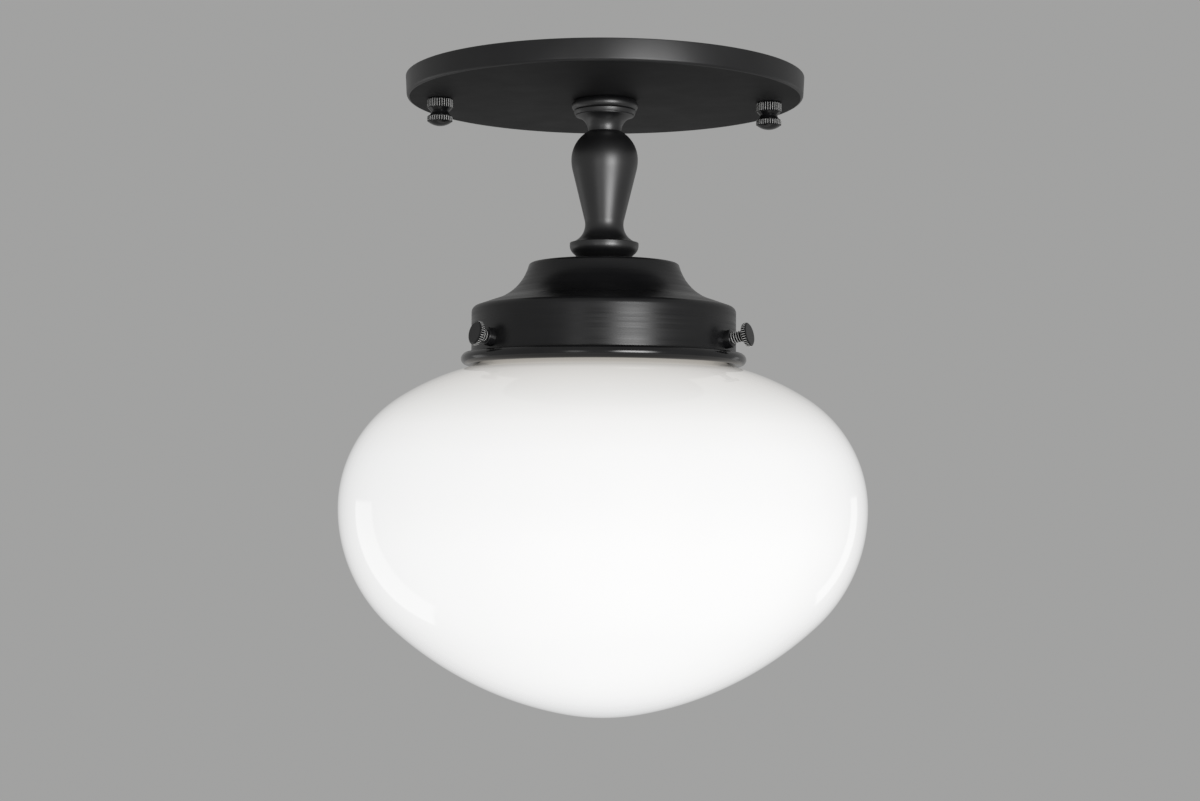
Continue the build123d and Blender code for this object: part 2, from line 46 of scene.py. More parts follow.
# Sizes that several pieces share, in millimetres
CANOPY_R, CANOPY_Z, CANOPY_WALL = 62.75, -6.65, 1.0
STUD_X = 52.0
HOLDER_Z, HOLDER_WALL = -58.4, 0.9
SKIRT_R = 41.55
BEAD_Z, BEAD_R, BEAD_ROUND = -88.7, 42.9, 1.9
SCREW_Z = -83.4
SCREW_TILT = math.radians(11.0)
SCREW_ANGLES = [math.radians(92.35 + 120 * n) for n in range(3)]
LOOSE_SCREW, LOOSE_TRAVEL = 3, 1.95


# Outlines
def arc(centre, radius, start, end, steps):
    """Points of an arc from one angle to another, in degrees."""
    points = []
    for i in range(steps + 1):
        a = math.radians(start + (end - start) * i / steps)
        points.append((centre[0] + radius * math.cos(a), centre[1] + radius * math.sin(a)))
    return points


def tangent_arc(start, end, tangent, steps):
    """Points of the arc that leaves start along tangent and reaches end."""
    s, e, t = Vector(start), Vector(end), Vector(tangent).normalized()
    side = Vector((-t.y, t.x))
    chord = e - s
    radius = chord.length_squared / (2 * chord.dot(side))
    centre = s + side * radius
    a = math.atan2(s.y - centre.y, s.x - centre.x)
    b = math.atan2(e.y - centre.y, e.x - centre.x)
    turn = b - a
    while turn <= 0 and radius > 0:
        turn += 2 * math.pi
    while turn >= 0 and radius < 0:
        turn -= 2 * math.pi
    return arc(centre, abs(radius), math.degrees(a), math.degrees(a + turn), steps)


def rounded(points, steps=4):
    """An open run of (r, z, corner radius) with its inner corners rounded."""
    out = []
    count = len(points)
    for i, (r, z, radius) in enumerate(points):
        p = Vector((r, z))
        if radius <= 0 or i in (0, count - 1):
            out.append((r, z))
            continue
        u = Vector(points[i - 1][:2]) - p
        v = Vector(points[i + 1][:2]) - p
        room = min(u.length, v.length) * 0.49
        u.normalize()
        v.normalize()
        half = u.angle(v) / 2
        reach = min(radius / math.tan(half), room)
        radius = reach * math.tan(half)
        centre = p + (u + v).normalized() * (radius / math.sin(half))
        a = p + u * reach - centre
        b = p + v * reach - centre
        sweep = a.angle_signed(b)
        for k in range(steps + 1):
            turned = Matrix.Rotation(-sweep * k / steps, 2) @ a
            out.append((centre.x + turned.x, centre.y + turned.y))
    return out


def plain(points):
    return [(r, z, None) for r, z in points]


# Meshes
ON_AXIS = 1e-4
RIDGE_SLOPE, RIDGE_FLAT = 1.3, 0.15
SHARP_ANGLE = 32
HOLE_SEGMENTS = 48


def ridge(turns):
    """0 at a crest and 1 at a root, with small flats at both."""
    away = 1 - abs((turns % 1.0) * 2 - 1)
    return min(1.0, max(0.0, away * RIDGE_SLOPE - RIDGE_FLAT))


def lathe(name, profile, segments, closed=False, teeth=0, tooth=0.0, pitch=1.0, thread=0.0):
    """Turns (r, z, kind) points about Z. kind is None, "knurl" or "thread"; both are marked at their crests,
    where a painted highlight colour stands in for glints.
    """
    mesh = bpy.data.meshes.new(name)
    bm = bmesh.new()
    rings = []
    glint_mask = []
    for r, z, kind in profile:
        if r < ON_AXIS:
            rings.append([bm.verts.new((0, 0, z * MM))])
            glint_mask.append(0.0)
            continue
        ring = []
        for s in range(segments):
            a = 2 * math.pi * s / segments
            depth = 0.0
            if kind == "knurl":
                depth = tooth * ridge(teeth * s / segments)
            elif kind == "thread":
                depth = thread * ridge(z / pitch - s / segments)
            x, y = (r - depth) * math.cos(a), (r - depth) * math.sin(a)
            ring.append(bm.verts.new((x * MM, y * MM, z * MM)))
            glint_mask.append(1.0 - depth / (tooth if kind == "knurl" else thread) if kind else 0.0)
        rings.append(ring)
    pairs = list(zip(rings, rings[1:]))
    if closed:
        pairs.append((rings[-1], rings[0]))
    for low, high in pairs:
        for s in range(segments):
            t = (s + 1) % segments
            if len(low) == 1 and len(high) == 1:
                continue
            if len(low) == 1:
                bm.faces.new((low[0], high[s], high[t]))
            elif len(high) == 1:
                bm.faces.new((low[s], high[0], low[t]))
            else:
                bm.faces.new((low[s], high[s], high[t], low[t]))
    bmesh.ops.recalc_face_normals(bm, faces=bm.faces)
    bm.to_mesh(mesh)
    bm.free()
    mesh.attributes.new("glint_mask", "FLOAT", "POINT").data.foreach_set("value", glint_mask)
    return mesh


def place(name, mesh, matrix=None, sharp=SHARP_ANGLE):
    """Makes an object of a mesh, smooth apart from its sharp edges."""
    if matrix is not None:
        mesh.transform(matrix)
    for face in mesh.polygons:
        face.use_smooth = True
    mesh.set_sharp_from_angle(angle=math.radians(sharp))
    obj = bpy.data.objects.new(name, mesh)
    bpy.context.scene.collection.objects.link(obj)
    return obj


def drill(obj, holes, low, high):
    """Cuts round holes along Z through an object. holes are (x, y, radius), all in millimetres."""
    for x, y, radius in holes:
        profile = plain([(0, low), (radius, low), (radius, high), (0, high)])
        mesh = lathe("cutter", profile, HOLE_SEGMENTS)
        cutter = place("cutter", mesh, Matrix.Translation((x * MM, y * MM, 0)))
        cut = obj.modifiers.new("hole", "BOOLEAN")
        cut.operation = "DIFFERENCE"
        cut.solver = "EXACT"
        cut.object = cutter
        bpy.context.view_layer.update()
        done = bpy.data.meshes.new_from_object(obj.evaluated_get(bpy.context.evaluated_depsgraph_get()))
        obj.modifiers.clear()
        obj.data = done
        bpy.data.objects.remove(cutter)
    obj.data.set_sharp_from_angle(angle=math.radians(SHARP_ANGLE))


def piece(obj, body, slot, *nodes):
    """Sets the body that an object moves with and hides the solids it stands for; slot is not used."""
    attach(obj, body)
    if nodes:
        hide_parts(*nodes)


# Materials
NOISE_LOW, NOISE_HIGH = 0.3, 0.7
FINE_DEPTH = 0.00001
GLOW_LOW_Z, GLOW_HIGH_Z = -0.200, -0.088
GLINT_FROM = 0.82


def material(name):
    """A new node material; gives the material, its nodes, its links and its shader."""
    mat = bpy.data.materials.new(name)
    mat.use_nodes = True
    nodes, links = mat.node_tree.nodes, mat.node_tree.links
    return mat, nodes, links, nodes["Principled BSDF"]


def noise(nodes, links, vector, scale, detail, roughness=0.5):
    node = nodes.new("ShaderNodeTexNoise")
    node.inputs["Scale"].default_value = scale
    node.inputs["Detail"].default_value = detail
    node.inputs["Roughness"].default_value = roughness
    links.new(vector, node.inputs["Vector"])
    return node.outputs["Fac"]


def spread(nodes, links, value, low, high, from_low=NOISE_LOW, from_high=NOISE_HIGH):
    node = nodes.new("ShaderNodeMapRange")
    node.inputs["From Min"].default_value = from_low
    node.inputs["From Max"].default_value = from_high
    node.inputs["To Min"].default_value = low
    node.inputs["To Max"].default_value = high
    links.new(value, node.inputs["Value"])
    return node.outputs["Result"]


def tones(nodes, links, value, first, second):
    node = nodes.new("ShaderNodeValToRGB")
    node.color_ramp.elements[0].position = NOISE_LOW
    node.color_ramp.elements[0].color = (*first, 1)
    node.color_ramp.elements[1].position = NOISE_HIGH
    node.color_ramp.elements[1].color = (*second, 1)
    links.new(value, node.inputs["Fac"])
    return node.outputs["Color"]


def bump(nodes, links, height, strength, distance, normal=None):
    node = nodes.new("ShaderNodeBump")
    node.inputs["Strength"].default_value = strength
    node.inputs["Distance"].default_value = distance
    links.new(height, node.inputs["Height"])
    if normal is not None:
        links.new(normal, node.inputs["Normal"])
    return node.outputs["Normal"]


def turned_vector(nodes, links, coords):
    """(distance from the Z axis, z), so that a texture runs round the axis in rings."""
    split = nodes.new("ShaderNodeSeparateXYZ")
    links.new(coords, split.inputs[0])
    flat = nodes.new("ShaderNodeCombineXYZ")
    links.new(split.outputs["X"], flat.inputs["X"])
    links.new(split.outputs["Y"], flat.inputs["Y"])
    length = nodes.new("ShaderNodeVectorMath")
    length.operation = "LENGTH"
    links.new(flat.outputs[0], length.inputs[0])
    rings = nodes.new("ShaderNodeCombineXYZ")
    links.new(length.outputs["Value"], rings.inputs["X"])
    links.new(split.outputs["Z"], rings.inputs["Z"])
    return rings.outputs[0]


def black_paint(name, rough, gloss, grain, grain_depth, rings=0, crest_glint=None):
    """Black coating with a fine grain. rings is the depth of the spinning lines under it.
    The last argument is a painted highlight: a light colour laid on knurl and thread crests, standing in for
    their glints."""
    mat, nodes, links, shader = material(name)
    coords = nodes.new("ShaderNodeTexCoord").outputs["Object"]
    clouds = noise(nodes, links, coords, 70, 3)
    fine = noise(nodes, links, coords, grain, 2)
    colour = tones(nodes, links, clouds, (0.004, 0.004, 0.0045), (0.007, 0.007, 0.0075))
    # Painted highlight: a light colour on the crests stands in for the glints of knurls and threads.
    if crest_glint:
        crest = nodes.new("ShaderNodeAttribute")
        crest.attribute_name = "glint_mask"
        mix = nodes.new("ShaderNodeMix")
        mix.data_type = "RGBA"
        mix.inputs["B"].default_value = (*crest_glint, 1)
        glint_share = spread(nodes, links, crest.outputs["Fac"], 0.0, 1.0, GLINT_FROM, 1.0)
        links.new(glint_share, mix.inputs["Factor"])
        links.new(colour, mix.inputs["A"])
        colour = mix.outputs["Result"]
    links.new(colour, shader.inputs["Base Color"])
    shader.inputs["Specular IOR Level"].default_value = gloss
    normal = bump(nodes, links, fine, 0.25, grain_depth)
    roughness = spread(nodes, links, clouds, rough - 0.03, rough + 0.04)
    if rings:
        lines = noise(nodes, links, turned_vector(nodes, links, coords), 1100, 3, 0.6)
        roughness = spread(nodes, links, lines, rough - 0.07, rough + 0.07)
        normal = bump(nodes, links, lines, 0.3, rings, normal)
    links.new(roughness, shader.inputs["Roughness"])
    links.new(normal, shader.inputs["Normal"])
    return mat


def metal(name, first, second, rough, grain, stretch=None, depth=FINE_DEPTH):
    """Bare metal with drawn or rolled marks."""
    mat, nodes, links, shader = material(name)
    coords = nodes.new("ShaderNodeTexCoord").outputs["Object"]
    vector = coords
    if stretch:
        scale = nodes.new("ShaderNodeVectorMath")
        scale.operation = "MULTIPLY"
        scale.inputs[1].default_value = stretch
        links.new(coords, scale.inputs[0])
        vector = scale.outputs[0]
    marks = noise(nodes, links, vector, grain, 3)
    clouds = noise(nodes, links, coords, 90, 2)
    links.new(tones(nodes, links, clouds, first, second), shader.inputs["Base Color"])
    links.new(spread(nodes, links, marks, rough - 0.06, rough + 0.08), shader.inputs["Roughness"])
    links.new(bump(nodes, links, marks, 0.3, depth), shader.inputs["Normal"])
    shader.inputs["Metallic"].default_value = 1.0
    return mat


def moulded(name, first, second, rough, grain=1400):
    """Plastic, porcelain or lacquer with a slight unevenness."""
    mat, nodes, links, shader = material(name)
    coords = nodes.new("ShaderNodeTexCoord").outputs["Object"]
    clouds = noise(nodes, links, coords, 60, 3)
    fine = noise(nodes, links, coords, grain, 2)
    links.new(tones(nodes, links, clouds, first, second), shader.inputs["Base Color"])
    links.new(spread(nodes, links, clouds, rough - 0.03, rough + 0.03), shader.inputs["Roughness"])
    links.new(bump(nodes, links, fine, 0.2, FINE_DEPTH), shader.inputs["Normal"])
    return mat


def opal_glass(name):
    """White glass under a clear coat, lit from inside: brightest low down, less under the holder."""
    mat, nodes, links, shader = material(name)
    coords = nodes.new("ShaderNodeTexCoord").outputs["Object"]
    split = nodes.new("ShaderNodeSeparateXYZ")
    links.new(coords, split.inputs[0])
    height = spread(nodes, links, split.outputs["Z"], 0.0, 1.0, GLOW_LOW_Z, GLOW_HIGH_Z)
    glow = nodes.new("ShaderNodeValToRGB")
    stops = ((0.0, (0.86, 0.865, 0.87)), (0.09, (0.885, 0.885, 0.885)), (0.22, (0.858, 0.858, 0.858)),
             (0.48, (0.835, 0.835, 0.835)), (0.6, (0.81, 0.81, 0.81)), (0.72, (0.80, 0.80, 0.80)),
             (0.8, (0.775, 0.772, 0.768)), (0.87, (0.71, 0.705, 0.695)), (0.95, (0.665, 0.65, 0.63)),
             (0.985, (0.26, 0.24, 0.21)))
    ramp = glow.color_ramp
    ramp.elements[0].position, ramp.elements[0].color = stops[0][0], (*stops[0][1], 1)
    ramp.elements[1].position, ramp.elements[1].color = stops[-1][0], (*stops[-1][1], 1)
    for position, colour in stops[1:-1]:
        ramp.elements.new(position).color = (*colour, 1)
    links.new(height, glow.inputs["Fac"])
    links.new(glow.outputs["Color"], shader.inputs["Emission Color"])
    shader.inputs["Emission Strength"].default_value = 1.03
    clouds = noise(nodes, links, coords, 25, 2)
    white = tones(nodes, links, clouds, (0.10, 0.0995, 0.0985), (0.11, 0.1095, 0.1085))
    links.new(white, shader.inputs["Base Color"])
    waves = noise(nodes, links, coords, 18, 1)
    links.new(bump(nodes, links, waves, 0.15, 0.0006), shader.inputs["Normal"])
    shader.inputs["Roughness"].default_value = 0.5
    shader.inputs["Specular IOR Level"].default_value = 0.0
    shader.inputs["Coat Weight"].default_value = 1.0
    shader.inputs["Coat Roughness"].default_value = 0.04
    shader.inputs["Coat IOR"].default_value = 1.24
    return mat


satin_black = black_paint("satin_black", rough=0.40, gloss=0.85, grain=2600, grain_depth=0.00002)
canopy_black = black_paint("canopy_black", rough=0.38, gloss=0.5, grain=2200, grain_depth=0.00003)
canopy_face_black = black_paint("canopy_face_black", rough=0.60, gloss=0.15, grain=2200, grain_depth=0.00003)
spun_black = black_paint("spun_black", rough=0.32, gloss=0.40, grain=2600, grain_depth=0.00002,
                         rings=0.000025)
bead_black = black_paint("bead_black", rough=0.14, gloss=0.45, grain=2600, grain_depth=0.00001)
# A painted highlight colour on its knurl and thread crests stands in for their glints.
gloss_black = black_paint("gloss_black", rough=0.20, gloss=0.38, grain=3200, grain_depth=0.00001,
                          crest_glint=(0.62, 0.62, 0.61))
zinc = metal("zinc_steel", (0.50, 0.50, 0.49), (0.62, 0.61, 0.58), 0.36, 700, (0.15, 1.0, 1.0))
brass = metal("brass", (0.62, 0.46, 0.20), (0.72, 0.56, 0.27), 0.30, 1200)
cap_metal = metal("cap_metal", (0.60, 0.60, 0.60), (0.70, 0.70, 0.69), 0.32, 900)
bulb_metal = metal("bulb_metal", (0.58, 0.58, 0.58), (0.68, 0.68, 0.67), 0.28, 900)
solder = metal("solder", (0.50, 0.50, 0.50), (0.60, 0.60, 0.59), 0.45, 600, depth=0.00004)
green_paint = moulded("green_paint", (0.03, 0.22, 0.07), (0.05, 0.28, 0.10), 0.3)
porcelain = moulded("porcelain", (0.74, 0.73, 0.70), (0.80, 0.79, 0.76), 0.14, 500)
bulb_plastic = moulded("bulb_plastic", (0.76, 0.76, 0.74), (0.80, 0.80, 0.78), 0.45)
bulb_glass = moulded("bulb_glass", (0.82, 0.81, 0.78), (0.86, 0.85, 0.82), 0.40)
bulb_black = moulded("bulb_black", (0.012, 0.012, 0.014), (0.02, 0.02, 0.022), 0.15)
opal = opal_glass("opal_glass")
SLOT_LOOKS = {
    "satin_black": satin_black, "gloss_black": gloss_black, "zinc_steel": zinc, "brass": brass,
    "green_paint": green_paint, "cap_metal": cap_metal, "porcelain": porcelain, "opal_glass": opal,
    "bulb_glass": bulb_glass, "bulb_plastic": bulb_plastic, "bulb_metal": bulb_metal,
    "bulb_black": bulb_black, "solder": solder,
}
for part in frame["record"]["subparts"]:
    node = frame["nodes"][part["node"]]
    node.data.materials.clear()
    node.data.materials.append(SLOT_LOOKS[part["material_slot"]])


def dress(obj, mat):
    obj.data.materials.clear()
    obj.data.materials.append(mat)
    return obj


def dress_below(obj, mat, z):
    """A second material on the faces below a height."""
    obj.data.materials.append(mat)
    for face in obj.data.polygons:
        if face.center.z < z * MM:
            face.material_index = 1


# Canopy pan
draft, canopy_hole_r, stud_hole_r = 0.35, 5.0, 2.45
edge_round, rim_round, inner_round = 1.1, 0.2, 0.6
canopy_outline = rounded([
    (canopy_hole_r, CANOPY_Z, 0), (CANOPY_R - draft, CANOPY_Z, edge_round), (CANOPY_R, 0, rim_round),
    (CANOPY_R - CANOPY_WALL, 0, rim_round),
    (CANOPY_R - draft - CANOPY_WALL, CANOPY_Z + CANOPY_WALL, inner_round),
    (canopy_hole_r, CANOPY_Z + CANOPY_WALL, 0),
], 8)
canopy = place("canopy_pan", lathe("canopy_pan", plain(canopy_outline), 192, closed=True))
drill(canopy, [(-STUD_X, 0, stud_hole_r), (STUD_X, 0, stud_hole_r)], CANOPY_Z - 2, 2)
piece(dress(canopy, canopy_black), "fixture", "satin_black", "canopy")
dress_below(canopy, canopy_face_black, CANOPY_Z + 0.02)

# Turned neck
neck_bore_r, bead_round, bead_r = 3.4, 1.675, 8.825
ledge_z = CANOPY_Z - 2 * bead_round
ledge_r, step_r, step_z = 9.9, 9.4, -11.3
cove_top, cove, widest = (9.2, -11.6), (5.2, -16.5), (10.5, -25.45)
body_round, waist = 14.2, (6.05, -46.0)
foot_top, foot_r, foot_rim_z = (10.75, -51.8), 10.85, -52.7
foot_turn, foot_seat = (9.87, -55.0), (7.5, -57.3)
flare_run, flare_drop = foot_top[0] - waist[0], waist[1] - foot_top[1]
flare_round = (flare_run**2 + flare_drop**2) / (2 * flare_run)


def cross_tangent(centre_a, radius_a, centre_b, radius_b):
    """Ends of the line that leaves the outside of circle a and runs on to the inside of circle b."""
    run, drop = centre_b[0] - centre_a[0], centre_a[1] - centre_b[1]
    slope = math.atan2(drop, run) - math.acos((radius_a + radius_b) / math.hypot(run, drop))
    leaving = (centre_a[0] + radius_a * math.cos(slope), centre_a[1] - radius_a * math.sin(slope))
    meeting = (centre_b[0] - radius_b * math.cos(slope), centre_b[1] + radius_b * math.sin(slope))
    return leaving, meeting


taper_top, taper_end = cross_tangent(
    (widest[0] - body_round, widest[1]), body_round, (waist[0] + flare_round, waist[1]), flare_round)
neck_outline = [(neck_bore_r, CANOPY_Z)]
neck_outline += arc((bead_r, CANOPY_Z - bead_round), bead_round, 90, -90, 24)
neck_outline += rounded([
    (bead_r, ledge_z, 0), (ledge_r, ledge_z, 0.15), (step_r, step_z, 0.15), (cove_top[0], step_z, 0),
    (*cove_top, 0),
])[1:]
neck_outline += tangent_arc(cove, cove_top, (0, 1), 20)[::-1][1:]
neck_outline += tangent_arc(widest, cove, (0, 1), 24)[::-1][1:]
neck_outline += tangent_arc(widest, taper_top, (0, -1), 10)[1:]
neck_outline += tangent_arc(waist, taper_end, (0, 1), 6)[::-1]
neck_outline += tangent_arc(waist, foot_top, (0, -1), 20)[1:]
neck_outline += rounded([(*foot_top, 0), (foot_r, foot_top[1] - 0.15, 0.08), (foot_r, foot_rim_z, 0)])[1:]
neck_outline += tangent_arc((foot_r, foot_rim_z), foot_turn, (0, -1), 16)[1:]
neck_outline += [foot_seat, (foot_seat[0], HOLDER_Z), (neck_bore_r, HOLDER_Z)]
neck = place("turned_neck", lathe("turned_neck", plain(neck_outline), 128, closed=True))
piece(dress(neck, satin_black), "fixture", "satin_black", "neck")

# Spun shade holder
lean, ledge_lean = math.radians(15.5), math.radians(70.8)
corner, ogee_round, shoulder_round = 1.2, 15.65, 2.1
top_r, holder_hole_r = 22.6, 5.0


def holder_line(inset):
    """The holder's wall from its hole to the skirt, set in from the outside."""
    corner_centre = (top_r, HOLDER_Z - corner)
    ogee_centre = (top_r + (corner + ogee_round) * math.cos(lean),
                   HOLDER_Z - corner + (corner + ogee_round) * math.sin(lean))
    ogee_end = (ogee_centre[0] - ogee_round * math.cos(ledge_lean),
                ogee_centre[1] - ogee_round * math.sin(ledge_lean))
    shoulder_r = SKIRT_R - shoulder_round
    shoulder_edge = shoulder_r + shoulder_round * math.cos(ledge_lean)
    ledge_end_z = ogee_end[1] - (shoulder_edge - ogee_end[0]) / math.tan(ledge_lean)
    shoulder_centre = (shoulder_r, ledge_end_z - shoulder_round * math.sin(ledge_lean))
    line = [(holder_hole_r, HOLDER_Z - inset)]
    line += arc(corner_centre, corner - inset, 90, math.degrees(lean), 8)
    ogee_from, ogee_to = 180 + math.degrees(lean), 180 + math.degrees(ledge_lean)
    line += arc(ogee_centre, ogee_round + inset, ogee_from, ogee_to, 36)[1:]
    line += arc(shoulder_centre, shoulder_round - inset, math.degrees(ledge_lean), 0, 12)
    return line


bead_start = math.degrees(math.acos((SKIRT_R - BEAD_R) / BEAD_ROUND))
holder_outline = holder_line(0)
holder_outline += arc((BEAD_R, BEAD_Z), BEAD_ROUND, bead_start, -180, 40)
holder_outline += [(SKIRT_R - HOLDER_WALL, BEAD_Z)]
holder_outline += holder_line(HOLDER_WALL)[::-1]
holder = place("spun_holder", lathe("spun_holder", plain(holder_outline), 192, closed=True))
piece(dress(holder, spun_black), "fixture", "satin_black", "shade_holder")
dress_below(holder, bead_black, BEAD_Z + BEAD_ROUND * math.sin(math.radians(bead_start)))

# Opal shade: arcs of its outside, from the neck down to the tip
glass_wall, glass_r, glass_neck_r, lip_r = 3.0, 82.52, 37.45, 39.85
upper_round, crown_round, lower_round = 40.7, 76.9, 49.6
upper_sweep = 57.2
glass_end_z, flare_z, lip_z, mouth_z = -200.3, -82.55, -80.15, -77.15
upper_r, lower_r = glass_r - upper_round, glass_r - lower_round
shift = upper_round - crown_round
crown_r = upper_r + shift * math.cos(math.radians(upper_sweep))
bead_gap = 1.0
gap_z = BEAD_Z - BEAD_ROUND - bead_gap
crown_z = gap_z - math.sqrt(crown_round**2 - (BEAD_R - crown_r) ** 2)
glass_z = crown_z - shift * math.sin(math.radians(upper_sweep))

# Its flank and tip share the turn of one plain arc
bowl_depth = glass_z - glass_end_z
plain_round = (lower_r**2 + bowl_depth**2 - lower_round**2) / (2 * (bowl_depth - lower_round))
flank_share, tip_share = 1.1959, 0.7324
flank_round, tip_round = flank_share * plain_round, tip_share * plain_round
lower_centre, tip_centre = Vector((lower_r, glass_z)), Vector((0, glass_end_z + tip_round))
span = tip_centre - lower_centre
reach = flank_round - lower_round
along = (reach**2 - (flank_round - tip_round) ** 2 + span.length_squared) / (2 * span.length)
across = math.sqrt(reach**2 - along**2)
way = span.normalized()
flank_centre = lower_centre + way * along + Vector((way.y, -way.x)) * across
lower_end = math.degrees(math.atan2(*(lower_centre - flank_centre).yx))
flank_end = math.degrees(math.atan2(*(tip_centre - flank_centre).yx))


def bowl_line(inset, neck_angle):
    """Arcs of the bowl from its tip to its neck, set in from the outside."""
    line = [(0.0, glass_end_z + inset)]
    line += arc(tip_centre, tip_round - inset, -90, flank_end, 6)[1:]
    line += arc(flank_centre, flank_round - inset, flank_end, lower_end, 20)[1:]
    line += arc(lower_centre, lower_round - inset, lower_end, 0, 24)[1:]
    line += arc((upper_r, glass_z), upper_round - inset, 0, upper_sweep, 28)[1:]
    line += arc((crown_r, crown_z), crown_round - inset, upper_sweep, neck_angle, 16)[1:]
    return line


neck_fillet = 5.0
fillet_r = glass_neck_r + neck_fillet
fillet_z = crown_z + math.sqrt((crown_round + neck_fillet) ** 2 - (fillet_r - crown_r) ** 2)
fillet_angle = math.degrees(math.atan2(fillet_z - crown_z, fillet_r - crown_r))
inside_r = glass_neck_r - glass_wall
inside_angle = math.degrees(math.acos((inside_r - crown_r) / (crown_round - glass_wall)))
glass_outline = bowl_line(0, fillet_angle)
glass_outline += arc((fillet_r, fillet_z), neck_fillet, 180 + fillet_angle, 180, 12)[1:]
inner_bowl = bowl_line(glass_wall, inside_angle)
glass_outline += rounded([
    (glass_neck_r, fillet_z, 0), (glass_neck_r, flare_z, 0.5), (lip_r, lip_z, 0.8), (lip_r, mouth_z, 0.8),
    (inside_r, mouth_z, 0.8), (*inner_bowl[-1], 0),
], 6)[1:-1]
glass_outline += inner_bowl[::-1]
glass = place("opal_shade", lathe("opal_shade", plain(glass_outline), 256), sharp=60)
piece(dress(glass, opal), "fixture", "opal_glass", "glass_shade")

# Knurled cap nuts and their threaded studs
TEETH, TOOTH_SEGMENTS = 32, 12
KNURL_SHARP = 28
nut_bore_r, nut_bore_z, nut_knurl_r, nut_tip_z, nut_tooth = 2.1, -6.5, 4.0, -8.6, 0.42
nut_outline = plain([(0, nut_bore_z), (nut_bore_r, nut_bore_z), (nut_bore_r, 0)])
nut_outline += plain(rounded([(nut_bore_r, 0, 0), (3.5, 0, 0.1), (3.75, -0.25, 0)])[1:])
nut_outline += [(nut_knurl_r, -0.4, "knurl"), (nut_knurl_r, -2.8, "knurl")]
nut_outline += plain(rounded([(3.75, -2.95, 0), (3.7, -3.05, 0.1), (2.75, -4.1, 0)]))
nut_outline += plain(tangent_arc((2.75, -4.1), (3.7, -5.5), (0, -1), 8)[1:])
nut_outline += [(nut_knurl_r, -5.75, "knurl"), (nut_knurl_r, -7.1, "knurl")]
nut_outline += plain(tangent_arc((0, nut_tip_z), (3.72, -7.3), (1, 0), 10)[::-1])
stud_r, stud_core_r, stud_end_z, stud_rows = 2.05, 1.6, -12.85, 130
stud_thread_z, stud_thread_length = -12.5, 12.3
stud_pitch, stud_thread = 25.4 / 32, 0.4
stud_outline = plain([(0, stud_end_z), (stud_core_r, stud_end_z)])
stud_outline += [(stud_r, stud_thread_z + stud_thread_length * i / stud_rows, "thread")
                 for i in range(stud_rows + 1)]
stud_outline += plain([(stud_core_r, 0), (0, 0)])
for side, x in (("left", -STUD_X), ("right", STUD_X)):
    at = Matrix.Translation((x * MM, 0, CANOPY_Z * MM))
    mesh = lathe(f"knurled_nut_{side}", nut_outline, TEETH * TOOTH_SEGMENTS, teeth=TEETH, tooth=nut_tooth)
    nut = place(f"knurled_nut_{side}", mesh, at, sharp=KNURL_SHARP)
    piece(dress(nut, gloss_black), f"canopy_nut_{side}", "gloss_black", f"canopy_nut_{side}")

    mesh = lathe(f"threaded_stud_{side}", stud_outline, 40, pitch=stud_pitch, thread=stud_thread)
    stud = place(f"threaded_stud_{side}", mesh, Matrix.Translation((x * MM, 0, 0)), sharp=60)
    piece(dress(stud, zinc), "fixture", "zinc_steel", f"canopy_stud_{side}")

# Bosses and knurled thumb screws
screw_tip, screw_r, screw_length, shank_r = -3.628, 1.75, 7.94, 1.6
head_r, head_height = 3.7, 1.7
screw_pitch, screw_thread, screw_tooth = 0.794, 0.43, 0.45
head_back = screw_tip + screw_length
head_front = head_back + head_height
thread_start, thread_end, thread_rows = screw_tip + 0.5, head_back - 0.1, 96
screw_outline = plain([(0, screw_tip), (screw_r - 0.5, screw_tip)])
screw_outline += [(screw_r, thread_start + (thread_end - thread_start) * i / thread_rows, "thread")
                  for i in range(thread_rows + 1)]
screw_outline += plain(rounded([
    (shank_r, head_back, 0), (head_r - 0.5, head_back, 0.12), (head_r - 0.25, head_back + 0.2, 0),
]))
screw_outline += [(head_r, head_back + 0.3, "knurl"), (head_r, head_front - 0.3, "knurl")]
screw_outline += plain(rounded([
    (head_r - 0.25, head_front - 0.2, 0), (head_r - 0.5, head_front, 0.12), (head_r - 1, head_front, 0),
]))
screw_outline += plain([(0, head_front)])
boss_r, boss_face, boss_back = 2.8, 2.2, -0.5
spigot_r, spigot_end, boss_bore_r = 2.15, -1.2, 1.8
boss_outline = plain(rounded([
    (boss_bore_r, spigot_end, 0), (spigot_r, spigot_end, 0.05), (spigot_r, boss_back, 0),
    (boss_r, boss_back, 0), (boss_r, boss_face, 0.35), (boss_bore_r + 0.15, boss_face, 0.1),
    (boss_bore_r, boss_face - 0.15, 0),
]))
flat = math.cos(SCREW_TILT)
for number, angle in enumerate(SCREW_ANGLES, start=1):
    out = Vector((flat * math.cos(angle), flat * math.sin(angle), math.sin(SCREW_TILT)))
    sideways = Vector((-math.sin(angle), math.cos(angle), 0))
    at = Matrix((sideways, out.cross(sideways), out)).transposed().to_4x4()
    at.translation = (SKIRT_R * math.cos(angle) * MM, SKIRT_R * math.sin(angle) * MM, SCREW_Z * MM)
    mesh = lathe(f"threaded_boss_{number}", boss_outline, 64, closed=True)
    boss = place(f"threaded_boss_{number}", mesh, at)
    piece(dress(boss, gloss_black), "fixture", "gloss_black", f"screw_boss_{number}")
    mesh = lathe(f"knurled_screw_{number}", screw_outline, TEETH * TOOTH_SEGMENTS, teeth=TEETH,
                 tooth=screw_tooth, pitch=screw_pitch, thread=screw_thread)
    backed_out = at @ Matrix.Translation((0, 0, LOOSE_TRAVEL * MM if number == LOOSE_SCREW else 0))
    screw = place(f"knurled_screw_{number}", mesh, backed_out, sharp=KNURL_SHARP)
    piece(dress(screw, gloss_black), f"thumb_screw_{number}", "gloss_black", f"thumb_screw_{number}")

